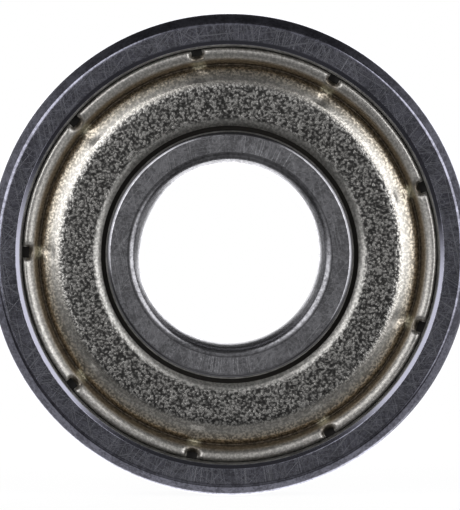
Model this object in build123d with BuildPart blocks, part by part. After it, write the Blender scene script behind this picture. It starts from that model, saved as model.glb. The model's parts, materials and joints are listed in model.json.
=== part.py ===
from build123d import *
from math import acos, cos, degrees, radians, sin, sqrt
import os

# Deep-groove ball bearing, 8 x 22 x 7 mm, with a pressed steel shield on one side.
# Frame: the origin is the centre of the bearing and its axis of rotation is the Y axis.
# The shielded side faces -Y, the open side +Y, and +Z is up. All sizes are in millimetres.

# Boundary dimensions
bore_radius = 4.0
outside_radius = 11.0
half_width = 3.5

# Balls and raceways
ball_count = 7
ball_radius = 1.9845
pitch_radius = 7.5
groove_radius = 2.08
ball_clearance = 0.006

# Rounded corners of the rings, at the bore and at the outside diameter
corner_radius = 0.8
corner_width = 0.57

# Outer ring: radii, then depths below the side face
outer_land_radius = 8.95
outer_face_inner_radius = 9.77
recess_chamfer_radius = 9.59
recess_chamfer_depth = 0.1
groove_lip_radius = 9.48
groove_lip_depth = 0.52
shield_groove_radius = 9.75
shield_groove_start = 0.7
shield_groove_depth = 1.05
land_chamfer = 0.08

# Inner ring: radii, then depths below the side face
inner_land_radius = 6.05
inner_step_radius = 5.66
inner_step_depth = 1.02
inner_face_outer_radius = 5.45
inner_chamfer_radius = 5.58
inner_chamfer_depth = 0.05
inner_edge_depth = 0.24

# Shield, pressed from thin sheet: radii and depths of the bends on its front surface
shield_sheet = 0.2
shield_lip_radius = 5.87
shield_lip_depth = 0.385
shield_plate_start = 6.124
shield_plate_end = 7.71
shield_plate_depth = 0.22
shield_shoulder_radius = 8.48
shield_shoulder_depth = 0.57
shield_valley_radius = 8.68
shield_valley_depth = 0.85
shield_rim_start = 8.99
shield_rim_end = 9.44
shield_rim_depth = 0.28
shield_leg_depth = 0.62
shield_leg_radius = 9.783
shield_leg_end_depth = 0.913
shield_bend_radii = [1.0, 0.8, 0.5, 0.07, 0.38, 0.215, 0.08]
shield_seat_gap = 0.01
notch_count = 9
notch_width = 0.58
notch_start_radius = 8.93
notch_corner_radius = 0.12
first_notch_angle = 19.3

# Cage: two pressed ribbon halves that meet on the middle plane, held by rivets
cage_sheet = 0.3
cage_inner_radius = 6.85
cage_outer_radius = 8.15
pocket_clearance = 0.1
pocket_bend_radius = 0.2
pocket_brim_radius = 3.6
rivet_radius = 0.3
rivet_hole_clearance = 0.01
rivet_head_radius = 0.52
rivet_head_height = 0.26
rivet_head_edge = 0.08

# Worked out from the sizes above
ball_spacing = 360 / ball_count
first_ball_angle = 90
corner_centre_offset = corner_radius - corner_width
corner_depth = sqrt(corner_radius**2 - corner_centre_offset**2)
corner_angle = degrees(acos(corner_centre_offset / corner_radius))
outer_groove_centre = pitch_radius + ball_radius + ball_clearance - groove_radius
inner_groove_centre = pitch_radius - ball_radius - ball_clearance + groove_radius
outer_groove_angle = degrees(acos((outer_land_radius - outer_groove_centre) / groove_radius))
inner_groove_angle = degrees(acos((inner_groove_centre - inner_land_radius) / groove_radius))
pocket_outer_radius = ball_radius + pocket_clearance + cage_sheet
pocket_bend_reach = pocket_outer_radius + pocket_bend_radius
pocket_bend_height = cage_sheet + pocket_bend_radius
pocket_dome_angle = degrees(acos(pocket_bend_height / pocket_bend_reach))
pocket_bend_centre = (sqrt(pocket_bend_reach**2 - pocket_bend_height**2), -pocket_bend_height)

rivet_top = cage_sheet + rivet_head_height
rivet_dome_height = rivet_head_height - rivet_head_edge
rivet_dome_radius = (rivet_head_radius**2 + rivet_dome_height**2) / (2 * rivet_dome_height)


def below_back(radius, depth):
    """A point of a ring's section, at a depth below the back side face."""
    return (radius, half_width - depth)


def below_front(radius, depth):
    """A point of the shield's section, at a depth below the front side face."""
    return (radius, depth - half_width)


def around_axis(radius, angle):
    """A point on the middle plane, at an angle from +X towards +Z."""
    return Vector(radius * cos(radians(angle)), 0, radius * sin(radians(angle)))


ball_centres = [
    around_axis(pitch_radius, first_ball_angle + ball_spacing * number)
    for number in range(ball_count)
]
rivet_centres = [
    around_axis(pitch_radius, first_ball_angle + ball_spacing * (number + 0.5))
    for number in range(ball_count)
]

os.makedirs("parts", exist_ok=True)

# Outer ring: half of its section, mirrored about the middle plane and turned about the axis
with BuildPart() as outer_ring:
    with BuildSketch(Plane.XY):
        with BuildLine():
            raceway = CenterArc((outer_groove_centre, 0), groove_radius, 0, outer_groove_angle)
            corner = CenterArc(
                below_back(outside_radius - corner_radius, corner_depth),
                corner_radius,
                corner_angle,
                -corner_angle,
            )
            Polyline(
                raceway @ 1,
                below_back(outer_land_radius, shield_groove_depth + land_chamfer),
                below_back(outer_land_radius + land_chamfer, shield_groove_depth),
                below_back(shield_groove_radius, shield_groove_depth),
                below_back(shield_groove_radius, shield_groove_start),
                below_back(groove_lip_radius, groove_lip_depth),
                below_back(recess_chamfer_radius, recess_chamfer_depth),
                below_back(outer_face_inner_radius, 0),
                corner @ 0,
            )
            Polyline(corner @ 1, (outside_radius, 0), raceway @ 0)
        make_face()
        mirror(about=Plane.XZ)
    revolve(axis=Axis.Y)
outer_ring.part.label = "outer_ring"
export_step(outer_ring.part, "parts/outer_ring.step")

# Inner ring: the same way, with a step beside the shield's lip
with BuildPart() as inner_ring:
    with BuildSketch(Plane.XY):
        with BuildLine():
            raceway = CenterArc((inner_groove_centre, 0), groove_radius, 180, -inner_groove_angle)
            corner = CenterArc(
                below_back(bore_radius + corner_radius, corner_depth),
                corner_radius,
                180 - corner_angle,
                corner_angle,
            )
            Polyline(
                raceway @ 1,
                below_back(inner_land_radius, inner_step_depth + land_chamfer),
                below_back(inner_land_radius - land_chamfer, inner_step_depth),
                below_back(inner_step_radius, inner_step_depth),
                below_back(inner_step_radius, inner_edge_depth),
                below_back(inner_chamfer_radius, inner_chamfer_depth),
                below_back(inner_face_outer_radius, 0),
                corner @ 0,
            )
            Polyline(corner @ 1, (bore_radius, 0), raceway @ 0)
        make_face()
        mirror(about=Plane.XZ)
    revolve(axis=Axis.Y)
inner_ring.part.label = "inner_ring"
export_step(inner_ring.part, "parts/inner_ring.step")

# Seven balls on the pitch circle
for number, centre in enumerate(ball_centres, start=1):
    with BuildPart() as ball:
        with Locations(centre):
            Sphere(ball_radius)
    ball.part.label = f"ball_{number}"
    export_step(ball.part, f"parts/ball_{number}.step")

# One pocket of the cage: a sheet that domes over a ball and bends out into a flat brim
with BuildPart() as pocket:
    with BuildSketch(Plane.XY):
        with BuildLine():
            dome = CenterArc((0, 0), pocket_outer_radius, -90, pocket_dome_angle)
            bend = CenterArc(
                pocket_bend_centre,
                pocket_bend_radius,
                pocket_dome_angle + 90,
                -pocket_dome_angle,
            )
            Line(bend @ 1, (pocket_brim_radius, -cage_sheet))
            offset(amount=cage_sheet, side=Side.LEFT)
        make_face()
    revolve(axis=Axis.Y)

# Front half of the cage: seven pockets whose brims join, cut to a narrow ribbon
with BuildPart() as cage_front:
    with Locations(*ball_centres):
        add(pocket.part)
    with BuildSketch(Plane.XZ):
        Circle(cage_outer_radius)
        Circle(cage_inner_radius, mode=Mode.SUBTRACT)
    extrude(amount=half_width, mode=Mode.INTERSECT)
    with BuildSketch(Plane.XZ):
        with Locations(*[(centre.X, centre.Z) for centre in rivet_centres]):
            Circle(rivet_radius + rivet_hole_clearance)
    extrude(amount=cage_sheet, mode=Mode.SUBTRACT)
cage_front.part.label = "cage_front"
export_step(cage_front.part, "parts/cage_front.step")

# Back half of the cage: the front half mirrored about the middle plane
with BuildPart() as cage_back:
    mirror(cage_front.part, about=Plane.XZ)
cage_back.part.label = "cage_back"
export_step(cage_back.part, "parts/cage_back.step")

# Seven rivets through both halves, each with a low domed head at both ends
for number, centre in enumerate(rivet_centres, start=1):
    rivet_plane = Plane(origin=centre, x_dir=(1, 0, 0), z_dir=(0, 0, 1))
    with BuildPart() as rivet:
        with BuildSketch(rivet_plane):
            with BuildLine():
                neck = Polyline(
                    (0, 0),
                    (rivet_radius, 0),
                    (rivet_radius, cage_sheet),
                    (rivet_head_radius, cage_sheet),
                    (rivet_head_radius, cage_sheet + rivet_head_edge),
                )
                dome = RadiusArc(neck @ 1, (0, rivet_top), -rivet_dome_radius)
                Line(dome @ 1, neck @ 0)
            make_face()
            mirror(about=Plane.XZ)
        revolve(axis=Axis(centre, (0, 1, 0)))
    rivet.part.label = f"rivet_{number}"
    export_step(rivet.part, f"parts/rivet_{number}.step")

# Shield: a sheet behind its front surface, turned about the axis, then notched through its rolled rim
with BuildPart() as front_shield:
    with BuildSketch(Plane.XY):
        with BuildLine():
            FilletPolyline(
                below_front(shield_lip_radius, shield_lip_depth),
                below_front(shield_plate_start, shield_plate_depth),
                below_front(shield_plate_end, shield_plate_depth),
                below_front(shield_shoulder_radius, shield_shoulder_depth),
                below_front(shield_valley_radius, shield_valley_depth),
                below_front(shield_rim_start, shield_rim_depth),
                below_front(shield_rim_end, shield_rim_depth),
                below_front(shield_rim_end, shield_leg_depth),
                below_front(shield_leg_radius, shield_leg_end_depth),
                radius=shield_bend_radii,
            )
            offset(amount=shield_sheet, side=Side.LEFT)
        make_face()
        with Locations(below_front(0, 0)):
            Rectangle(
                shield_groove_radius - shield_seat_gap,
                shield_groove_depth,
                align=(Align.MIN, Align.MIN),
                mode=Mode.INTERSECT,
            )
    revolve(axis=Axis.Y)
    with BuildSketch(Plane.XZ):
        with PolarLocations(outside_radius, notch_count, start_angle=first_notch_angle):
            RectangleRounded(
                2 * (outside_radius - notch_start_radius), notch_width, notch_corner_radius
            )
    extrude(amount=half_width, mode=Mode.SUBTRACT)
front_shield.part.label = "front_shield"
export_step(front_shield.part, "parts/front_shield.step")
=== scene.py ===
import json
from math import acos, asin, atan2, ceil, cos, degrees, exp, pi, radians, sin, sqrt, tan

import bmesh
import bpy
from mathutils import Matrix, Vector


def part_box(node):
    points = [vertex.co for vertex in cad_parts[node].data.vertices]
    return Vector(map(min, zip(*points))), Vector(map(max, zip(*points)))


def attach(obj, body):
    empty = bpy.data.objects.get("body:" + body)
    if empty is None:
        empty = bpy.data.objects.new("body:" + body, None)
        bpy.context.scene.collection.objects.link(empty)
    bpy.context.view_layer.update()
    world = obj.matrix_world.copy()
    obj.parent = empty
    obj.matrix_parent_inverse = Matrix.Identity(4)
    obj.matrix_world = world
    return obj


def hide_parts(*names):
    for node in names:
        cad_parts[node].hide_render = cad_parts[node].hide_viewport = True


# Deep-groove ball bearing, 8 x 22 x 7 mm, shielded on the side that faces -Y.
# Sections are drawn in millimetres as (radius, depth below a side face) and turned about Y.

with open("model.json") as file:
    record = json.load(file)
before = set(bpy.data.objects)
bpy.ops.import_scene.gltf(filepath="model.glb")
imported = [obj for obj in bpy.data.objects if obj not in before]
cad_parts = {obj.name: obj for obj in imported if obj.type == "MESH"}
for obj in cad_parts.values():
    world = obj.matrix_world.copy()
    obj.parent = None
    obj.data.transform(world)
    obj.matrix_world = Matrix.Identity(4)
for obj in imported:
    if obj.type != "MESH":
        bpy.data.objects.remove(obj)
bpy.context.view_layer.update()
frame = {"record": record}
MM = 0.001

# ---------------------------------------------------------------- sizes read from the frame
outer_low, outer_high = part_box("outer_ring")
OUTSIDE_RADIUS = min(outer_high.x, -outer_low.x, outer_high.z, -outer_low.z) / MM
HALF_WIDTH = (outer_high.y - outer_low.y) / 2 / MM
mounts = {mount["name"]: mount for mount in frame["record"]["mounts"]}
BORE_RADIUS = mounts["bore"]["dims"]["r_mm"]


def centre_of(node):
    """The middle of a CAD node's box, in millimetres."""
    low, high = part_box(node)
    return (low + high) / 2 / MM


BALLS = [f"ball_{n}" for n in range(1, 8)]
RIVETS = [f"rivet_{n}" for n in range(1, 8)]
ball_low, ball_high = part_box(BALLS[0])
BALL_RADIUS = (ball_high.y - ball_low.y) / 2 / MM
PITCH_RADIUS = centre_of(BALLS[0]).z
FIRST_BALL_ANGLE = 90.0
BALL_SPACING = 360 / len(BALLS)

# ---------------------------------------------------------------- section sizes, within the CAD's box
GROOVE_RADIUS = 2.08
BALL_CLEARANCE = 0.006
CORNER_RADIUS = 0.8
CORNER_WIDTH = 0.57
CORNER_OFFSET = CORNER_RADIUS - CORNER_WIDTH
CORNER_DEPTH = sqrt(CORNER_RADIUS**2 - CORNER_OFFSET**2)
CORNER_ANGLE = degrees(acos(CORNER_OFFSET / CORNER_RADIUS))

# outer ring, from the raceway's shoulder to the side face: (radius, depth, edge rounding)
OUTER_LAND_RADIUS = 8.95
OUTER_EDGES = [
    (OUTER_LAND_RADIUS, 1.13, 0.03),
    (9.03, 1.05, 0.03),
    (9.75, 1.05, 0.03),
    (9.75, 0.70, 0.04),
    (9.47, 0.50, 0.03),
    (9.555, 0.105, 0.04),
    (9.765, 0.0, 0.10),
]

# inner ring, the same way
INNER_LAND_RADIUS = 6.05
INNER_EDGES = [
    (INNER_LAND_RADIUS, 1.10, 0.03),
    (5.97, 1.02, 0.03),
    (5.66, 1.02, 0.05),
    (5.66, 0.24, 0.06),
    (5.58, 0.05, 0.14),
    (5.45, 0.0, 0.12),
]
FACE_EDGE_ROUNDING = 0.05

# corners of the rings, arc after arc from a side face: (radius, tilt at the arc's end);
# the outer ring has its own on both sides, the bore on the front only
OUTER_ARCS = [(0.37, 35), (0.84, 90)]
BORE_ARCS = [(0.56, 32), (0.08, 64), (3.49, 90)]

# shield: front surface of the sheet from its inner lip to its edge, (radius, depth, bend radius)
SHEET = 0.2
SHIELD_BENDS = [
    (5.87, 0.386, 0),
    (6.15, 0.22, 0.65),
    (7.77, 0.22, 1.2),
    (8.48, 0.57, 0.5),
    (8.68, 0.85, 0.05),
    (8.99, 0.28, 0.42),
    (9.435, 0.28, 0.18),
    (9.435, 0.62, 0.08),
    (9.735, 0.87, 0),
]
NOTCH_COUNT = 9
NOTCH_WIDTH = 0.5
NOTCH_START = 9.16
FIRST_NOTCH = 19.3
TAB_START = 9.02
TAB_REACH = 0.4
TAB_LEANS = [0.0, 0.02, 0.03, 0.06, 0.24, 0.05, 0.0, 0.02, 0.05]

# what the press left by each notch: (radius, width of the mark, width round the axis, height to the back)
LUMP = (8.70, 0.14, 0.27, -0.16)
DENT = (8.24, 0.20, 0.30, 0.075)
SINK = (9.20, 0.17, 0.24, 0.26)
# the rolled edges beside a notch, the same way but round the notch's edge
ROLL = (9.30, 0.30, 0.09, 0.11)
DENT_UNEVEN = 0.35

# slow waves of the rolled rim: its radius, its width, and terms of (times round, height, phase)
RIM_MIDDLE = 9.22
RIM_WIDTH = 0.3
RIM_WAVES_IN_DEPTH = [(5, 0.008, 0.4), (13, 0.004, 2.0), (29, 0.003, 1.1)]
RIM_WAVES_IN_RADIUS = [(7, 0.008, 1.3), (16, 0.006, 0.2), (31, 0.004, 2.6)]

# cage and its rivets
CAGE_SHEET = 0.3
CAGE_INNER_RADIUS = 6.85
CAGE_OUTER_RADIUS = 8.15
CAGE_EDGE = 0.04
POCKET_CLEARANCE = 0.1
POCKET_RADIUS = BALL_RADIUS + POCKET_CLEARANCE + CAGE_SHEET
POCKET_BEND = 0.2
RIVET_RADIUS = 0.3
RIVET_HEAD = 0.52
RIVET_RISE = 0.26
RIVET_BAND = 0.08

# mesh fineness: degrees in each step of an arc, columns in a turn, steps along the cage
ARC_STEP = 5.0
FINE_ARC_STEP = 3.0
BALL_ARC_STEP = 3.75
RING_SEGMENTS = 288
BALL_SEGMENTS = 96
RIVET_SEGMENTS = 48
NOTCH_STEPS = 8
TAB_STEPS = 20
DOME_STEPS = 22
BEND_STEPS = 8
BRIM_STEPS = 4
CAGE_ROWS = 10
# extra points this far inside a straight stretch keep it flat under smooth shading
HOLD = 0.014
# a corner that turns by less than this, in radians, isn't rounded
STRAIGHT_ENOUGH = 0.01
# points closer than this, in metres, become one
WELD_DISTANCE = 1e-8


# ---------------------------------------------------------------- drawing sections
def arc(centre, radius, start, end, step=ARC_STEP):
    """Points along an arc, angles in degrees."""
    steps = max(2, ceil(abs(end - start) / step))
    angles = [radians(start + (end - start) * n / steps) for n in range(steps + 1)]
    return [(centre[0] + radius * cos(a), centre[1] + radius * sin(a)) for a in angles]


def rounded(corners):
    """A line through (x, y, rounding) corners, each rounded by an arc of that radius."""
    line = []
    last = len(corners) - 1
    for n, (x, y, radius) in enumerate(corners):
        here = Vector((x, y))
        if n in (0, last) or radius == 0:
            line.append((x, y))
            continue
        back = (Vector(corners[n - 1][:2]) - here).normalized()
        ahead = (Vector(corners[n + 1][:2]) - here).normalized()
        opening = back.angle(ahead)
        if pi - opening < STRAIGHT_ENOUGH:
            line.append((x, y))
            continue
        reach = radius / tan(opening / 2)
        centre = here + (back + ahead).normalized() * radius / sin(opening / 2)
        start, end = here + back * reach, here + ahead * reach
        first = atan2(start.y - centre.y, start.x - centre.x)
        sweep = (atan2(end.y - centre.y, end.x - centre.x) - first + pi) % (2 * pi) - pi
        line += arc(centre, radius, degrees(first), degrees(first + sweep))
    return line


def held(line):
    """The line with extra points just inside each long straight stretch, to keep it flat."""
    points = []
    for start, end in zip(line, line[1:]):
        a, b = Vector(start), Vector(end)
        points.append(tuple(a))
        length = (b - a).length
        if length > 5 * HOLD:
            along = (b - a) / length
            points.append(tuple(a + along * HOLD))
            points.append(tuple(b - along * HOLD))
    points.append(tuple(Vector(line[-1])))
    return points


# ---------------------------------------------------------------- making meshes
def make_object(name, points, faces, sharp_angle=30):
    """A mesh object from points in millimetres, with outward faces and smooth shading."""
    mesh = bpy.data.meshes.new(name)
    mesh.from_pydata([[c * MM for c in point] for point in points], [], faces)
    work = bmesh.new()
    work.from_mesh(mesh)
    bmesh.ops.remove_doubles(work, verts=work.verts, dist=WELD_DISTANCE)
    bmesh.ops.recalc_face_normals(work, faces=work.faces)
    for face in work.faces:
        face.smooth = True
    work.to_mesh(mesh)
    work.free()
    mesh.set_sharp_from_angle(angle=radians(sharp_angle))
    made = bpy.data.objects.new(name, mesh)
    bpy.context.scene.collection.objects.link(made)
    return made


def turned(name, section, segments, middle=(0.0, 0.0)):
    """A closed section of (radius, y) points, turned about a line parallel to Y through middle."""
    rows = len(section)
    points = []
    faces = []
    for column in range(segments):
        angle = 2 * pi * column / segments
        points += [(middle[0] + r * cos(angle), y, middle[1] + r * sin(angle)) for r, y in section]
        here, ahead = column * rows, (column + 1) % segments * rows
        for row in range(rows):
            above = (row + 1) % rows
            faces.append((here + row, here + above, ahead + above, ahead + row))
    return make_object(name, points, faces)


def mirrored(back, front=None):
    """A half section on the +Y side, closed by its mirror image or by another half's."""
    return back + [(r, -y) for r, y in reversed(front or back)][1:-1]


def fitted(piece, body, slot, *nodes):
    """A piece rides on its body and stands for the CAD nodes, which it hides; slot is not used."""
    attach(piece, body)
    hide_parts(*nodes)
    return piece


# ---------------------------------------------------------------- rings
def ring_half(raceway, edges, corner):
    """Half of a ring's section, from the middle of its raceway over its side face to its other wall."""
    line = [(r, y, 0) for r, y in raceway]
    line += [(r, HALF_WIDTH - depth, rounding) for r, depth, rounding in edges]
    line.append((*corner[0], FACE_EDGE_ROUNDING))
    line += [(r, y, 0) for r, y in corner[1:]]
    line.append((corner[-1][0], 0, 0))
    return held(rounded(line))


def compound_corner(arcs, end_radius, hand):
    """A corner from a side face to a wall at end_radius; hand is 1 outwards and -1 into a bore."""
    width = 0
    start = 0
    for radius, end in arcs:
        width += radius * (sin(radians(end)) - sin(radians(start)))
        start = end
    line = [(end_radius - hand * width, HALF_WIDTH)]
    start = 0
    for radius, end in arcs:
        x, y = line[-1]
        centre = (x - hand * radius * sin(radians(start)), y - radius * cos(radians(start)))
        line += arc(centre, radius, 90 - hand * start, 90 - hand * end, step=FINE_ARC_STEP)[1:]
        start = end
    return line


def make_outer_ring():
    centre = PITCH_RADIUS + BALL_RADIUS + BALL_CLEARANCE - GROOVE_RADIUS
    groove_end = degrees(acos((OUTER_LAND_RADIUS - centre) / GROOVE_RADIUS))
    raceway = arc((centre, 0), GROOVE_RADIUS, 0, groove_end)
    half = ring_half(raceway, OUTER_EDGES, compound_corner(OUTER_ARCS, OUTSIDE_RADIUS, 1))
    piece = turned("outer_ring_ground", mirrored(half), RING_SEGMENTS)
    return fitted(piece, "outer", "ring_steel", "outer_ring")


def make_inner_ring():
    centre = PITCH_RADIUS - BALL_RADIUS - BALL_CLEARANCE + GROOVE_RADIUS
    groove_end = degrees(acos((centre - INNER_LAND_RADIUS) / GROOVE_RADIUS))
    raceway = arc((centre, 0), GROOVE_RADIUS, 180, 180 - groove_end)
    plain_centre = (BORE_RADIUS + CORNER_RADIUS, HALF_WIDTH - CORNER_DEPTH)
    plain = arc(plain_centre, CORNER_RADIUS, 180 - CORNER_ANGLE, 180, step=FINE_ARC_STEP)
    back = ring_half(raceway, INNER_EDGES, plain)
    front = ring_half(raceway, INNER_EDGES, compound_corner(BORE_ARCS, BORE_RADIUS, -1))
    piece = turned("inner_ring_ground", mirrored(back, front), RING_SEGMENTS)
    return fitted(piece, "inner", "ring_steel", "inner_ring")


# ---------------------------------------------------------------- shield
def sheet_lines():
    """The shield's front line and, a sheet behind it, its back line, point for point."""
    corners = [(r, depth - HALF_WIDTH, bend) for r, depth, bend in SHIELD_BENDS]
    front = held(rounded(corners))
    count = len(front)
    back = []
    for n in range(count):
        before, after = Vector(front[max(n - 1, 0)]), Vector(front[min(n + 1, count - 1)])
        here = Vector(front[n])
        a = (here - before).normalized() if n else Vector((0, 0))
        b = (after - here).normalized() if n < count - 1 else Vector((0, 0))
        along = (a + b).normalized()
        back.append((here.x - along.y * SHEET, here.y + along.x * SHEET))
    return front, back


def split_at(front, back, line, radius):
    """Adds one point to both lines where one of them crosses a radius; gives its place."""
    for n in range(len(line) - 1):
        if line[n][0] < radius <= line[n + 1][0]:
            share = (radius - line[n][0]) / (line[n + 1][0] - line[n][0])
            for each in (front, back):
                a, b = each[n], each[n + 1]
                each.insert(n + 1, (a[0] + (b[0] - a[0]) * share, a[1] + (b[1] - a[1]) * share))
            return n + 1
    raise ValueError("the line never crosses that radius")


def bell(distance, width):
    return exp(-((distance / width) ** 2))


def press_mark(mark, radius, away):
    """How far a mark pushes the sheet back, at a radius and a distance from the notch's middle or edge."""
    middle, width, width_round, height = mark
    return height * bell(radius - middle, width) * bell(away, width_round)


def waver(angle, terms):
    """A slow uneven wave around the axis: terms of (times round, height, phase)."""
    return sum(height * sin(times * angle + phase) for times, height, phase in terms)


def pressed(radius, y, angle):
    """A point of the shield as the press left it: dents and lumps by the notches, a wavy rim."""
    step = 2 * pi / NOTCH_COUNT
    nearest = round((angle - radians(FIRST_NOTCH)) / step)
    away = (angle - radians(FIRST_NOTCH) - nearest * step) * radius
    past_edge = max(abs(away) - NOTCH_WIDTH / 2, 0)
    uneven = 1 + DENT_UNEVEN * sin(2.3 * (nearest % NOTCH_COUNT) + 0.7)
    rim = bell(radius - RIM_MIDDLE, RIM_WIDTH)
    y += press_mark(LUMP, radius, away) + press_mark(SINK, radius, away)
    y += press_mark(DENT, radius, away) * uneven + press_mark(ROLL, radius, past_edge)
    y += rim * waver(angle, RIM_WAVES_IN_DEPTH)
    radius += rim * waver(angle, RIM_WAVES_IN_RADIUS)
    tab = int((angle - radians(FIRST_NOTCH)) // step) % NOTCH_COUNT
    y -= TAB_LEANS[tab] * min(max(radius - TAB_START, 0), TAB_REACH)
    return radius, y


def tab_shares():
    """Places across a tab between two notches, from 0 to 1, closer together at its ends."""
    near = [0, 0.003, 0.008, 0.015, 0.025, 0.037, 0.052, 0.07, 0.093, 0.12]
    start, length = near[-1], 1 - 2 * near[-1]
    middle = [start + length * n / TAB_STEPS for n in range(1, TAB_STEPS)]
    return near + middle + [1 - share for share in reversed(near)]


def make_shield():
    front, back = sheet_lines()
    front_cut = split_at(front, back, front, NOTCH_START)
    back_cut = split_at(front, back, back, NOTCH_START)
    if back_cut <= front_cut:
        front_cut += 1
    rows = len(front)
    points = []
    faces = []
    columns = []

    def angle_at(notch, across, radius):
        """Angle of a column: across is under 0 in a notch, and 0 to 1 over the tab after it."""
        middle = radians(FIRST_NOTCH) + notch * 2 * pi / NOTCH_COUNT
        edge = asin(NOTCH_WIDTH / 2 / radius)
        if across < 0:
            return middle + edge * (1 + 2 * across)
        return middle + edge + across * (2 * pi / NOTCH_COUNT - 2 * edge)

    for notch in range(NOTCH_COUNT):
        columns += [(notch, -1 + n / NOTCH_STEPS, True) for n in range(NOTCH_STEPS)]
        columns += [(notch, share, False) for share in tab_shares()[:-1]]
    for notch, across, _ in columns:
        for line in (front, back):
            for radius, y in line:
                angle = angle_at(notch, across, radius)
                radius, y = pressed(radius, y, angle)
                points.append((radius * cos(angle), y, radius * sin(angle)))

    def index(column, back_side, row):
        return (column % len(columns)) * 2 * rows + back_side * rows + row

    for column, (_, _, cut) in enumerate(columns):
        after = column + 1
        front_rows = front_cut if cut else rows - 1
        back_rows = back_cut if cut else rows - 1
        for side, last in ((0, front_rows), (1, back_rows)):
            for row in range(last):
                corners = [(column, row), (column, row + 1), (after, row + 1), (after, row)]
                faces.append([index(c, side, r) for c, r in corners])
        for front_row, back_row in ((0, 0), (front_rows, back_rows)):
            corners = [(column, 0, front_row), (after, 0, front_row)]
            corners += [(after, 1, back_row), (column, 1, back_row)]
            faces.append([index(*corner) for corner in corners])
        before_cut = columns[column - 1][2]
        if cut != before_cut:
            # the wall of a notch, from the end of the cut out to the edge of the sheet
            for row in range(back_cut, front_cut):
                corners = [(0, front_cut), (1, row), (1, row + 1)]
                faces.append([index(column, side, r) for side, r in corners])
            for row in range(front_cut, rows - 1):
                corners = [(0, row), (0, row + 1), (1, row + 1), (1, row)]
                faces.append([index(column, side, r) for side, r in corners])
    piece = make_object("shield_pressed", points, faces, sharp_angle=40)
    return fitted(piece, "outer", "shield_steel", "front_shield")


# ---------------------------------------------------------------- balls, cage and rivets
def around_axis(number):
    """Angle of a ball's centre from +X towards +Z, in radians."""
    return radians(FIRST_BALL_ANGLE + number * BALL_SPACING)


def make_balls():
    section = arc((0, 0), BALL_RADIUS, 90, -90, step=BALL_ARC_STEP)
    section[0] = (0, BALL_RADIUS)
    section[-1] = (0, -BALL_RADIUS)
    made = []
    for name in BALLS:
        centre = centre_of(name)
        piece = turned(f"{name}_lapped", section, BALL_SEGMENTS, middle=(centre.x, centre.z))
        made.append(fitted(piece, name, "ball_steel", name))
    return made


def make_rivets():
    rise = RIVET_RISE - RIVET_BAND
    dome = (RIVET_HEAD**2 + rise**2) / (2 * rise)
    half_dome = degrees(asin(RIVET_HEAD / dome))
    top = CAGE_SHEET + RIVET_RISE
    head = arc((0, top - dome), dome, 90, 90 - half_dome, step=FINE_ARC_STEP)
    head[0] = (0, top)
    half = head + [(RIVET_HEAD, CAGE_SHEET), (RIVET_RADIUS, CAGE_SHEET)]
    section = half + [(r, -y) for r, y in reversed(half)]
    made = []
    for name in RIVETS:
        centre = centre_of(name)
        piece = turned(f"{name}_headed", section, RIVET_SEGMENTS, middle=(centre.x, centre.z))
        made.append(fitted(piece, "cage", "rivet_steel", name))
    return made


def pocket_stations():
    """Places along half a pocket's ribbon, from the crown of its dome to the middle of its brim."""
    dome = [("dome", n / DOME_STEPS) for n in range(DOME_STEPS)]
    bend = [("bend", n / BEND_STEPS) for n in range(BEND_STEPS)]
    brim = [("brim", n / BRIM_STEPS) for n in range(BRIM_STEPS + 1)]
    return dome + bend + brim


def pocket_point(kind, share, radius, inset):
    """Distance from the ball's centre line, and height, at a depth inset into the sheet."""
    reach = POCKET_RADIUS + POCKET_BEND
    bend_height = CAGE_SHEET + POCKET_BEND
    bend_distance = sqrt(reach**2 - bend_height**2)
    steep = acos(bend_height / reach)
    if kind == "dome":
        shell = POCKET_RADIUS - inset
        least = asin(abs(radius - PITCH_RADIUS) / shell)
        tilt = least + share * (steep - least)
        return shell * sin(tilt), shell * cos(tilt)
    if kind == "bend":
        tilt = steep * (1 - share)
        inner = POCKET_BEND + inset
        return bend_distance - inner * sin(tilt), bend_height - inner * cos(tilt)
    half = radians(BALL_SPACING / 2)
    end = sqrt(radius**2 + PITCH_RADIUS**2 - 2 * radius * PITCH_RADIUS * cos(half))
    return bend_distance + share * (end - bend_distance), CAGE_SHEET - inset


def make_cage(name, node_name, side):
    """Half of the cage: a ribbon that domes over every ball, with softly rounded sheared edges."""
    low, high = CAGE_INNER_RADIUS + CAGE_EDGE, CAGE_OUTER_RADIUS - CAGE_EDGE
    across = [low + (high - low) * n / CAGE_ROWS for n in range(CAGE_ROWS + 1)]
    loop = [(radius, 0) for radius in across]
    loop += [(CAGE_OUTER_RADIUS, CAGE_EDGE), (CAGE_OUTER_RADIUS, CAGE_SHEET - CAGE_EDGE)]
    loop += [(radius, CAGE_SHEET) for radius in reversed(across)]
    loop += [(CAGE_INNER_RADIUS, CAGE_SHEET - CAGE_EDGE), (CAGE_INNER_RADIUS, CAGE_EDGE)]
    stations = pocket_stations()
    columns = [(-1, *station) for station in reversed(stations[1:])]
    columns += [(1, *station) for station in stations[:-1]]
    points = []
    for number in range(len(BALLS)):
        for hand, kind, share in columns:
            for radius, inset in loop:
                distance, height = pocket_point(kind, share, radius, inset)
                cosine = (radius**2 + PITCH_RADIUS**2 - distance**2) / (2 * radius * PITCH_RADIUS)
                angle = around_axis(number) + hand * acos(min(cosine, 1))
                points.append((radius * cos(angle), side * height, radius * sin(angle)))
    count = len(points) // len(loop)
    faces = []
    for column in range(count):
        here, ahead = column * len(loop), (column + 1) % count * len(loop)
        for row in range(len(loop)):
            after = (row + 1) % len(loop)
            faces.append((here + row, here + after, ahead + after, ahead + row))
    piece = make_object(name, points, faces, sharp_angle=50)
    return fitted(piece, "cage", "cage_steel", node_name)


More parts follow.
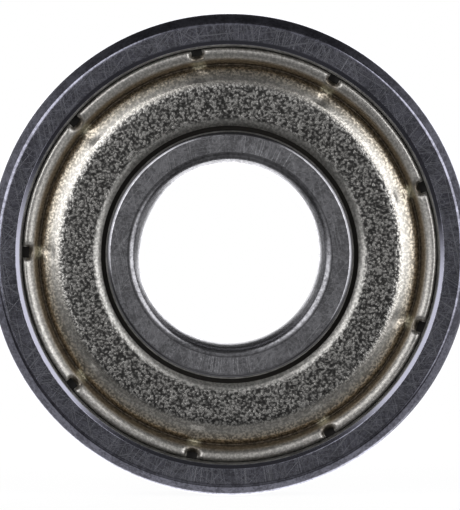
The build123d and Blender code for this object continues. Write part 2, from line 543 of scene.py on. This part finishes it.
# ---------------------------------------------------------------- node helpers
def node(tree, kind, inputs=None, **settings):
    """A node with its settings, and each input set to a value or linked to a socket."""
    made = tree.nodes.new(kind)
    for key, value in settings.items():
        setattr(made, key, value)
    for key, value in (inputs or {}).items():
        if isinstance(value, bpy.types.NodeSocket):
            tree.links.new(value, made.inputs[key])
        else:
            made.inputs[key].default_value = value
    return made


def calc(tree, operation, *values):
    """One step of arithmetic, as a socket."""
    return node(tree, "ShaderNodeMath", dict(enumerate(values)), operation=operation).outputs[0]


def window(tree, value, start, end, low=0.0, high=1.0):
    """low before start, high after end, and a smooth step between."""
    made = node(
        tree,
        "ShaderNodeMapRange",
        {"Value": value, "From Min": start, "From Max": end, "To Min": low, "To Max": high},
        interpolation_type="SMOOTHSTEP",
    )
    return made.outputs["Result"]


def mix_colour(tree, factor, first, second):
    made = node(tree, "ShaderNodeMix", data_type="RGBA")
    for socket, value in zip((made.inputs[0], made.inputs[6], made.inputs[7]), (factor, first, second)):
        if isinstance(value, bpy.types.NodeSocket):
            tree.links.new(value, socket)
        else:
            socket.default_value = value if isinstance(value, (int, float)) else (*value, 1)
    return made.outputs[2]


def mix_number(tree, factor, first, second):
    made = node(tree, "ShaderNodeMix", {0: factor, 2: first, 3: second}, data_type="FLOAT")
    return made.outputs[0]


def noise(tree, place, scale, detail=2.0, roughness=0.5):
    inputs = {"Vector": place, "Scale": scale, "Detail": detail, "Roughness": roughness}
    return node(tree, "ShaderNodeTexNoise", inputs).outputs["Fac"]


def ramp(tree, value, stops):
    """A colour ramp through (value, colour) stops, from the first to the last; a grey may be one number."""
    start, length = stops[0][0], stops[-1][0] - stops[0][0]
    share = calc(tree, "DIVIDE", calc(tree, "SUBTRACT", value, start), length)
    made = node(tree, "ShaderNodeValToRGB", {"Fac": share})
    elements = made.color_ramp.elements
    while len(elements) < len(stops):
        elements.new(0.5)
    for element, (at, colour) in zip(elements, stops):
        element.position = (at - start) / length
        element.color = (colour,) * 3 + (1,) if isinstance(colour, (int, float)) else (*colour, 1)
    return made.outputs["Color"]


def new_material(name):
    """An empty material: its tree, its metal shader and the object's own coordinates in mm."""
    material = bpy.data.materials.new(name)
    material.use_nodes = True
    tree = material.node_tree
    shader = tree.nodes["Principled BSDF"]
    shader.inputs["Metallic"].default_value = 1.0
    coordinates = node(tree, "ShaderNodeTexCoord").outputs["Object"]
    scaled = node(tree, "ShaderNodeVectorMath", {0: coordinates, "Scale": 1 / MM}, operation="SCALE")
    return material, tree, shader, scaled.outputs[0]


def around(tree, place):
    """From coordinates in mm: the radius, and the unit vector away from the axis."""
    flat = node(tree, "ShaderNodeVectorMath", {0: place, 1: (1, 0, 1)}, operation="MULTIPLY").outputs[0]
    radius = node(tree, "ShaderNodeVectorMath", {0: flat}, operation="LENGTH").outputs["Value"]
    outward = node(tree, "ShaderNodeVectorMath", {0: flat}, operation="NORMALIZE").outputs[0]
    return radius, outward


def scaled_by(tree, vector, factors):
    return node(tree, "ShaderNodeVectorMath", {0: vector, 1: factors}, operation="MULTIPLY").outputs[0]


def turned_place(tree, place, angle, factors):
    """The coordinates turned about Y and stretched."""
    inputs = {"Vector": place, "Angle": radians(angle)}
    made = node(tree, "ShaderNodeVectorRotate", inputs, rotation_type="Y_AXIS")
    return scaled_by(tree, made.outputs[0], factors)


def scratches(tree, place, angles, fine, long, least, most):
    """Thin straight scratches in a few directions, from 0 to 1."""
    total = None
    for number, angle in enumerate(angles):
        spread = turned_place(tree, place, angle, (fine, 3, long))
        # each direction looks at its own part of the noise
        inputs = {0: spread, 1: (17.3 * number, 5.1 * number, 3.7)}
        shifted = node(tree, "ShaderNodeVectorMath", inputs, operation="ADD").outputs[0]
        line = window(tree, noise(tree, shifted, 1.0, 1.5, 0.6), least, most)
        total = line if total is None else calc(tree, "MAXIMUM", total, line)
    return total


def facing(tree, unit, towards, wide, narrow):
    """From 0 to 1 as a direction comes from wide to narrow degrees off another."""
    inputs = {0: unit, 1: Vector(towards).normalized()}
    near = node(tree, "ShaderNodeVectorMath", inputs, operation="DOT_PRODUCT").outputs["Value"]
    return window(tree, near, cos(radians(wide)), cos(radians(narrow)))


def bumped(tree, shader, height, strength, distance):
    """The shader's normal, bumped by a height; distance is in mm."""
    inputs = {"Height": height, "Strength": strength, "Distance": distance * MM}
    made = node(tree, "ShaderNodeBump", inputs)
    tree.links.new(made.outputs[0], shader.inputs["Normal"])


def between(tree, value, low, high, slope):
    """One between two bounds and nought outside, with smooth slopes."""
    rise = window(tree, value, low - slope, low)
    fall = window(tree, value, high, high + slope, 1.0, 0.0)
    return calc(tree, "MULTIPLY", rise, fall)


def shaded(colour, share):
    return [channel * share for channel in colour]


# ---------------------------------------------------------------- materials
# places on the rings, as radii: the flat faces, the turned surfaces beside the balls, the bore's corner
OUTER_FACE = (9.78, 10.45)
OUTER_TURNED = (8.0, 9.77)
INNER_FACE = (4.70, 5.41)
INNER_TURNED = (5.42, 6.5)
BORE_CORNER = (4.10, 4.66)
# and as distances from the middle plane: all of the turned surfaces, painted dark as shade, and the band
# just below the side face that is painted a mottled dark grey, partly dust and partly painted shade
TURNED_REACH = (2.42, HALF_WIDTH - 0.12)
DUST_AND_SHADE_REACH = (2.9, HALF_WIDTH - 0.11)
# the azimuths where bright radial streaks gather on the face, a painted highlight
STREAK_HIGHLIGHT_AZIMUTHS = (72, 268)
# the bottom of the shield's valley
VALLEY_RADIUS = 8.7


def ring_marks(tree, place, outward):
    """Lapping scratches every way, and longer radial streaks in patches and, as a painted highlight, at two
    set azimuths.
    """
    fine = scratches(tree, place, (12, 58, 97, 141), 24.0, 0.3, 0.54, 0.72)
    inputs = {0: scaled_by(tree, outward, (150, 0, 150)), 1: scaled_by(tree, place, (0, 2, 0))}
    spokes_place = node(tree, "ShaderNodeVectorMath", inputs, operation="ADD").outputs[0]
    spokes = window(tree, noise(tree, spokes_place, 1.0, 2.0, 0.6), 0.46, 0.74)
    where = window(tree, noise(tree, outward, 1.7, 1.0), 0.42, 0.62, 0.15, 0.7)
    # the streaks gather round these azimuths as a painted highlight
    for azimuth in STREAK_HIGHLIGHT_AZIMUTHS:
        towards = (cos(radians(azimuth)), 0, sin(radians(azimuth)))
        where = calc(tree, "MAXIMUM", where, facing(tree, outward, towards, 28, 12))
    spokes = calc(tree, "MULTIPLY", spokes, where)
    speck = window(tree, noise(tree, place, 14.0, 2.0, 0.6), 0.64, 0.72)
    marks = calc(tree, "MAXIMUM", calc(tree, "MULTIPLY", fine, 0.7), spokes)
    return calc(tree, "MAXIMUM", marks, calc(tree, "MULTIPLY", speck, 0.6))


def ring_steel(name, body, glint, face, beside_balls, turned_colour, kept, bore):
    """Lapped steel with fine scratches on its flat face; around the face, rougher turned steel painted
    darker as shade.

    body, glint and turned_colour are colours, glint that of painted highlight and turned_colour that of
    painted shade;
    face and beside_balls hold the radii of the flat face and of the turned surfaces beside the balls;
    kept is how much of the body's colour the bend between them keeps under painted shade;
    bore holds the radii of the bore's corner, or is empty.
    """
    material, tree, shader, place = new_material(name)
    radius, outward = around(tree, place)
    y = node(tree, "ShaderNodeSeparateXYZ", {0: place}).outputs["Y"]
    from_middle = calc(tree, "ABSOLUTE", y)
    flat = between(tree, radius, *face, 0.03)
    marks = ring_marks(tree, place, outward)
    marks = calc(tree, "MULTIPLY", marks, mix_number(tree, flat, 0.03, 1.0))
    cloud = calc(tree, "MULTIPLY", noise(tree, place, 1.3, 3.0, 0.6), 0.4)
    cloud = calc(tree, "ADD", cloud, calc(tree, "MULTIPLY", noise(tree, place, 7.0, 3.0, 0.75), 0.6))
    mottle = window(tree, cloud, 0.40, 0.60)
    colour = mix_colour(tree, mottle, shaded(body, 0.62), shaded(body, 1.26))
    # scratches and specks are painted in the glint colour: real marks, drawn lighter as a painted highlight
    colour = mix_colour(tree, calc(tree, "MULTIPLY", marks, 0.75), colour, glint)
    # the turned surfaces beside the balls: the bend below the face is painted darker as shade that dims its
    # highlight, and deeper in they are rougher, as unground steel, and painted dark as shade
    beside = between(tree, radius, *beside_balls, 0.03)
    below_face = window(tree, from_middle, HALF_WIDTH - 0.02, HALF_WIDTH - 0.003, 1.0, 0.0)
    bend_shade = calc(tree, "MULTIPLY", beside, below_face)
    colour = mix_colour(tree, bend_shade, colour, shaded(body, kept))
    deep_shade = calc(tree, "MULTIPLY", beside, between(tree, from_middle, *TURNED_REACH, 0.05))
    colour = mix_colour(tree, deep_shade, colour, turned_colour)
    rough = mix_number(tree, marks, 0.12, 0.24)
    rough = mix_number(tree, deep_shade, rough, 0.42)
    # and just below the side face, in the gap, they are painted a mottled dark grey, partly dust and partly
    # painted shade
    tucked = calc(tree, "MULTIPLY", beside, between(tree, from_middle, *DUST_AND_SHADE_REACH, 0.03))
    dust_and_gap_shade = mix_colour(tree, mottle, (0.10, 0.097, 0.092), (0.24, 0.236, 0.225))
    colour = mix_colour(tree, tucked, colour, dust_and_gap_shade)
    tree.links.new(mix_number(tree, tucked, 1.0, 0.15), shader.inputs["Metallic"])
    if bore:
        # the bore's corner gets specks of painted glint and a band of painted shade, and its wall is
        # painted dark as shade
        inner, outer = bore
        glint_specks = window(tree, noise(tree, place, 9.0, 3.0, 0.75), 0.42, 0.62)
        rounding = between(tree, radius, inner, outer, 0.02)
        corner = calc(tree, "MULTIPLY", rounding, glint_specks)
        corner_shade = between(tree, radius, inner + 0.12, outer, 0.04)
        colour = mix_colour(tree, calc(tree, "MULTIPLY", corner_shade, 0.5), colour, (0.0, 0.0, 0.0))
        colour = mix_colour(tree, calc(tree, "MULTIPLY", corner, 0.15), colour, glint)
        wall = window(tree, radius, inner - 0.05, inner, 1.0, 0.0)
        colour = mix_colour(tree, wall, colour, (0.14, 0.14, 0.15))
        rough = mix_number(tree, rounding, rough, 0.2)
    tree.links.new(colour, shader.inputs["Base Color"])
    tree.links.new(rough, shader.inputs["Roughness"])
    bumped(tree, shader, calc(tree, "MULTIPLY", marks, -1.0), 0.2, 0.01)
    return material


def by_notch(tree, place):
    """One beside each notch and nought between them."""
    split = node(tree, "ShaderNodeSeparateXYZ", {0: place}).outputs
    azimuth = calc(tree, "ARCTAN2", split["Z"], split["X"])
    turn = calc(tree, "SUBTRACT", azimuth, radians(FIRST_NOTCH))
    away = calc(tree, "PINGPONG", calc(tree, "ADD", turn, 4 * pi), pi / NOTCH_COUNT)
    return window(tree, calc(tree, "MULTIPLY", away, VALLEY_RADIUS), 0.15, 0.42, 1.0, 0.0)


def shield_tint(tree, place, radius):
    """The sheet's colour from its lip to its edge: warm brown towards the valley, darker in the valley, its
    crease and the edge tucked into the ring as painted shade, and paler on the bends as a painted
    highlight.
    """
    lip = (0.49, 0.48, 0.46)
    plate = (0.43, 0.42, 0.405)
    shoulder = (0.72, 0.69, 0.64)
    warm = (0.59, 0.525, 0.43)
    valley = (0.31, 0.26, 0.195)
    curl = (0.52, 0.50, 0.47)
    rim = (0.66, 0.64, 0.61)
    crease_shade = (0.12, 0.10, 0.076)
    tucked = (0.10, 0.098, 0.09)
    # shoulder and rim are painted paler than the plate as highlight; valley, crease and tucked are painted
    # darker as shade
    tint = ramp(
        tree,
        radius,
        [
            (5.80, lip),
            (6.16, lip),
            (6.26, plate),
            (7.70, plate),
            (7.92, shoulder),
            (8.08, shoulder),
            (8.36, warm),
            (8.48, warm),
            (8.60, valley),
            (8.648, crease_shade),
            (8.712, crease_shade),
            (8.78, valley),
            (8.86, valley),
            (9.00, curl),
            (9.24, rim),
            (9.42, rim),
            (9.48, tucked),
            (9.80, tucked),
        ],
    )
    near = by_notch(tree, place)
    # the valley is painted lighter beside each notch, and the end of the notch is painted darker as shade
    for radii, slope, colour in (
        ((8.60, 8.86), 0.06, (0.50, 0.47, 0.36)),
        ((8.97, 9.25), 0.05, (0.20, 0.165, 0.12)),
    ):
        patch = calc(tree, "MULTIPLY", near, between(tree, radius, *radii, slope))
        tint = mix_colour(tree, calc(tree, "MULTIPLY", patch, 0.8), tint, colour)
    return tint


def shield_steel():
    """Plated sheet with a coarse pressed grain on its plate, smoother on its bends."""
    material, tree, shader, place = new_material("shield_steel")
    radius, _ = around(tree, place)
    tint = shield_tint(tree, place, radius)
    coarse = ramp(
        tree,
        radius,
        [
            (5.80, 0.25),
            (6.12, 0.35),
            (6.28, 1.0),
            (7.66, 1.0),
            (7.84, 0.3),
            (8.12, 0.3),
            (8.36, 0.6),
            (8.60, 0.6),
            (8.84, 0.25),
            (9.80, 0.25),
        ],
    )
    grain = noise(tree, place, 9.0, 2.0, 0.6)
    dots = node(tree, "ShaderNodeTexVoronoi", {"Vector": place, "Scale": 8.0}).outputs["Distance"]
    small = noise(tree, place, 19.0, 2.0, 0.6)
    peaks = calc(tree, "ADD", calc(tree, "MULTIPLY", dots, -0.3), grain)
    pits = window(tree, peaks, 0.22, 0.50)
    depth = mix_number(tree, coarse, 1.0, mix_number(tree, pits, 0.22, 1.95))
    shade = node(tree, "ShaderNodeVectorMath", {0: tint, "Scale": depth}, operation="SCALE").outputs[0]
    tree.links.new(shade, shader.inputs["Base Color"])
    rough = ramp(
        tree,
        radius,
        [
            (5.80, 0.36),
            (6.16, 0.34),
            (6.28, 0.24),
            (7.66, 0.24),
            (7.84, 0.26),
            (8.52, 0.33),
            (8.64, 0.6),
            (8.80, 0.6),
            (8.96, 0.45),
            (9.12, 0.38),
            (9.80, 0.38),
        ],
    )
    tree.links.new(rough, shader.inputs["Roughness"])
    # grease and dust dull the edge that is tucked into the ring
    tree.links.new(window(tree, radius, 9.44, 9.48, 1.0, 0.1), shader.inputs["Metallic"])
    height = calc(tree, "ADD", peaks, calc(tree, "MULTIPLY", small, 0.15))
    bumped(tree, shader, height, mix_number(tree, coarse, 0.08, 1.0), 0.017)
    return material


def ball_steel():
    """Lapped chrome steel: a mirror with a breath of haze."""
    material, tree, shader, place = new_material("ball_steel")
    haze = window(tree, noise(tree, place, 1.1, 2.0), 0.35, 0.7)
    colour = mix_colour(tree, haze, (0.60, 0.60, 0.62), (0.68, 0.68, 0.70))
    tree.links.new(colour, shader.inputs["Base Color"])
    tree.links.new(mix_number(tree, haze, 0.06, 0.13), shader.inputs["Roughness"])
    fine = scratches(tree, place, (20, 85, 130), 24.0, 1.5, 0.64, 0.75)
    bumped(tree, shader, fine, 0.1, 0.004)
    return material


def pressed_steel(name, colour, grain_size):
    """Tumbled sheet steel: soft sheen, faint grain and dull spots."""
    material, tree, shader, place = new_material(name)
    grain = noise(tree, place, 1 / grain_size, 3.0, 0.6)
    dull = window(tree, noise(tree, place, 2.2, 3.0, 0.6), 0.35, 0.7)
    body = mix_colour(tree, dull, shaded(colour, 0.82), shaded(colour, 1.1))
    tree.links.new(body, shader.inputs["Base Color"])
    tree.links.new(mix_number(tree, dull, 0.34, 0.24), shader.inputs["Roughness"])
    bumped(tree, shader, grain, 0.5, 0.012)
    return material


# ---------------------------------------------------------------- studio
# directions from the object: the white wall behind it, and a softer patch for its flat back faces
WHITE_BEHIND = (0.168, 0.954, -0.249)
SOFT_BEHIND = (0.68, 0.68, -0.26)
# soft boxes beside the camera: slopes off -Y where each fades in and out, across and up, and its strength
SOFT_BOXES = [
    ((0.30, 0.65, 1.40, 1.80), (-0.62, 0.0, 0.80, 0.98), 1.9),
    ((-1.70, -1.25, -0.50, -0.10), (-0.24, 0.14, 0.82, 0.99), 1.75),
    ((-0.50, -0.20, 0.20, 0.50), (0.10, 0.35, 0.55, 0.85), 0.22),
    ((-0.60, -0.30, 0.30, 0.60), (-1.30, -1.00, -0.60, -0.35), 0.12),
]
# the floor, in mm: its gap below the bearing, and where it fades into the backdrop
FLOOR_RADIUS = 400
FLOOR_GAP = 0.02
FLOOR_FADE = (30, 120)
CAMERA_AZIMUTH = -0.7
CAMERA_ELEVATION = 0.87
CAMERA_DISTANCE = 387.0
CAMERA_AIM = Vector((0.0055, -HALF_WIDTH, -0.013))
CAMERA_LENS = 600
SENSOR_WIDTH = 36


def direction(azimuth, elevation):
    """Unit vector from the object towards a viewer."""
    a, e = radians(azimuth), radians(elevation)
    return Vector((sin(a) * cos(e), -cos(a) * cos(e), sin(e)))


def make_camera():
    camera = bpy.data.objects.new("camera", bpy.data.cameras.new("camera"))
    bpy.context.scene.collection.objects.link(camera)
    towards = direction(CAMERA_AZIMUTH, CAMERA_ELEVATION)
    camera.location = (CAMERA_AIM + towards * CAMERA_DISTANCE) * MM
    camera.rotation_euler = towards.to_track_quat("Z", "Y").to_euler()
    camera.data.lens = CAMERA_LENS
    camera.data.sensor_width = SENSOR_WIDTH
    camera.data.clip_start = 0.01
    camera.data.clip_end = 10
    bpy.context.scene.camera = camera


def soft_box(tree, x, z, across, up, strength):
    """A soft lamp that fades in and out across and up; x and z are slopes off -Y."""
    lamp = calc(tree, "MULTIPLY", window(tree, x, *across[:2]), window(tree, x, *across[2:], 1.0, 0.0))
    lamp = calc(tree, "MULTIPLY", lamp, window(tree, z, *up[:2]))
    lamp = calc(tree, "MULTIPLY", lamp, window(tree, z, *up[2:], 1.0, 0.0))
    return calc(tree, "MULTIPLY", lamp, strength)


def make_surroundings():
    """A dark front wall, a pale table below, white behind, and soft boxes beside the camera."""
    world = bpy.data.worlds.new("studio")
    bpy.context.scene.world = world
    world.use_nodes = True
    tree = world.node_tree
    ground = node(tree, "ShaderNodeTexCoord").outputs["Generated"]
    unit = node(tree, "ShaderNodeVectorMath", {0: ground}, operation="NORMALIZE").outputs[0]
    x, y, z = node(tree, "ShaderNodeSeparateXYZ", {0: unit}).outputs
    front = calc(tree, "MULTIPLY", y, -1.0)
    # degrees off the front, and how far up or down a direction lies around the front
    off = calc(tree, "MULTIPLY", calc(tree, "ARCCOSINE", front), 180 / pi)
    side = calc(tree, "SQRT", calc(tree, "ADD", calc(tree, "MULTIPLY", x, x), calc(tree, "MULTIPLY", z, z)))
    height = calc(tree, "DIVIDE", z, calc(tree, "MAXIMUM", side, 0.0001))
    # the table and walls all round: pale below, dark above
    band = mix_number(tree, window(tree, height, -0.95, -0.2), 0.42, 0.33)
    band = mix_number(tree, window(tree, height, 0.45, 0.95), band, 0.045)
    level = mix_number(tree, window(tree, off, 8, 24), 0.138, 0.06)
    level = mix_number(tree, window(tree, off, 55, 67), level, band)
    total = mix_number(tree, facing(tree, unit, WHITE_BEHIND, 48, 37), level, 2.2)
    total = mix_number(tree, facing(tree, unit, SOFT_BEHIND, 26, 12), total, 0.4)
    ahead = calc(tree, "MAXIMUM", front, 0.1)
    across, up = calc(tree, "DIVIDE", x, ahead), calc(tree, "DIVIDE", z, ahead)
    for box in SOFT_BOXES:
        total = calc(tree, "ADD", total, soft_box(tree, across, up, *box))
    backdrop = node(tree, "ShaderNodeBackground", {"Color": (1, 1, 1, 1), "Strength": 1.0})
    room = node(tree, "ShaderNodeBackground", {"Color": (1, 1, 1, 1), "Strength": total})
    seen = node(tree, "ShaderNodeLightPath").outputs["Is Camera Ray"]
    mixed = node(tree, "ShaderNodeMixShader", {0: seen, 1: room.outputs[0], 2: backdrop.outputs[0]})
    tree.links.new(mixed.outputs[0], tree.nodes["World Output"].inputs["Surface"])


def make_floor():
    """A plain pale table top that fades into the white backdrop."""
    mesh = bpy.data.meshes.new("floor")
    work = bmesh.new()
    bmesh.ops.create_circle(work, cap_ends=True, segments=96, radius=FLOOR_RADIUS * MM)
    work.to_mesh(mesh)
    work.free()
    floor = bpy.data.objects.new("floor", mesh)
    bpy.context.scene.collection.objects.link(floor)
    floor.location = (0, 0, outer_low.z - FLOOR_GAP * MM)
    floor.visible_glossy = False
    material = bpy.data.materials.new("table_top")
    material.use_nodes = True
    tree = material.node_tree
    tree.nodes.remove(tree.nodes["Principled BSDF"])
    place = node(tree, "ShaderNodeTexCoord").outputs["Object"]
    away = node(tree, "ShaderNodeVectorMath", {0: place}, operation="LENGTH").outputs["Value"]
    lit = node(tree, "ShaderNodeBsdfDiffuse", {"Color": (0.25, 0.25, 0.25, 1)})
    glow = node(tree, "ShaderNodeEmission", {"Color": (1, 1, 1, 1), "Strength": 0.93})
    near = node(tree, "ShaderNodeAddShader", {0: lit.outputs[0], 1: glow.outputs[0]})
    plain = node(tree, "ShaderNodeEmission", {"Color": (1, 1, 1, 1), "Strength": 1.0})
    fade = window(tree, away, *(distance * MM for distance in FLOOR_FADE))
    mixed = node(tree, "ShaderNodeMixShader", {0: fade, 1: near.outputs[0], 2: plain.outputs[0]})
    tree.links.new(mixed.outputs[0], tree.nodes["Material Output"].inputs["Surface"])
    mesh.materials.append(material)


def paint(thing, material):
    """Every material slot of an object gets the one material."""
    slots = thing.data.materials
    if not slots:
        slots.append(material)
    for number in range(len(slots)):
        slots[number] = material


# ---------------------------------------------------------------- the bearing and its studio
# the rings are one steel: the outer ring's body is painted darker and the inner ring's lighter, as painted
# shade and light for how each face catches the lamps
outer_steel = ring_steel(
    "outer_ring_steel_painted_darker",
    body=(0.295, 0.295, 0.36),
    glint=(0.70, 0.71, 0.78),
    face=OUTER_FACE,
    beside_balls=OUTER_TURNED,
    turned_colour=(0.075, 0.072, 0.07),
    kept=1.0,
    bore=(),
)
inner_steel = ring_steel(
    "inner_ring_steel_painted_lighter",
    body=(0.60, 0.595, 0.64),
    glint=(0.88, 0.88, 0.92),
    face=INNER_FACE,
    beside_balls=INNER_TURNED,
    turned_colour=(0.07, 0.065, 0.06),
    kept=0.45,
    bore=BORE_CORNER,
)
paint(make_outer_ring(), outer_steel)
paint(make_inner_ring(), inner_steel)
paint(make_shield(), shield_steel())
ball_material = ball_steel()
for ball in make_balls():
    paint(ball, ball_material)
cage_material = pressed_steel("cage_steel", (0.56, 0.54, 0.50), 0.09)
for node_name, side in (("cage_front", -1), ("cage_back", 1)):
    paint(make_cage(f"{node_name}_pressed", node_name, side), cage_material)
rivet_material = pressed_steel("rivet_steel", (0.60, 0.58, 0.54), 0.06)
for rivet in make_rivets():
    paint(rivet, rivet_material)

make_floor()
make_surroundings()
make_camera()
bpy.context.scene.view_settings.view_transform = "Standard"
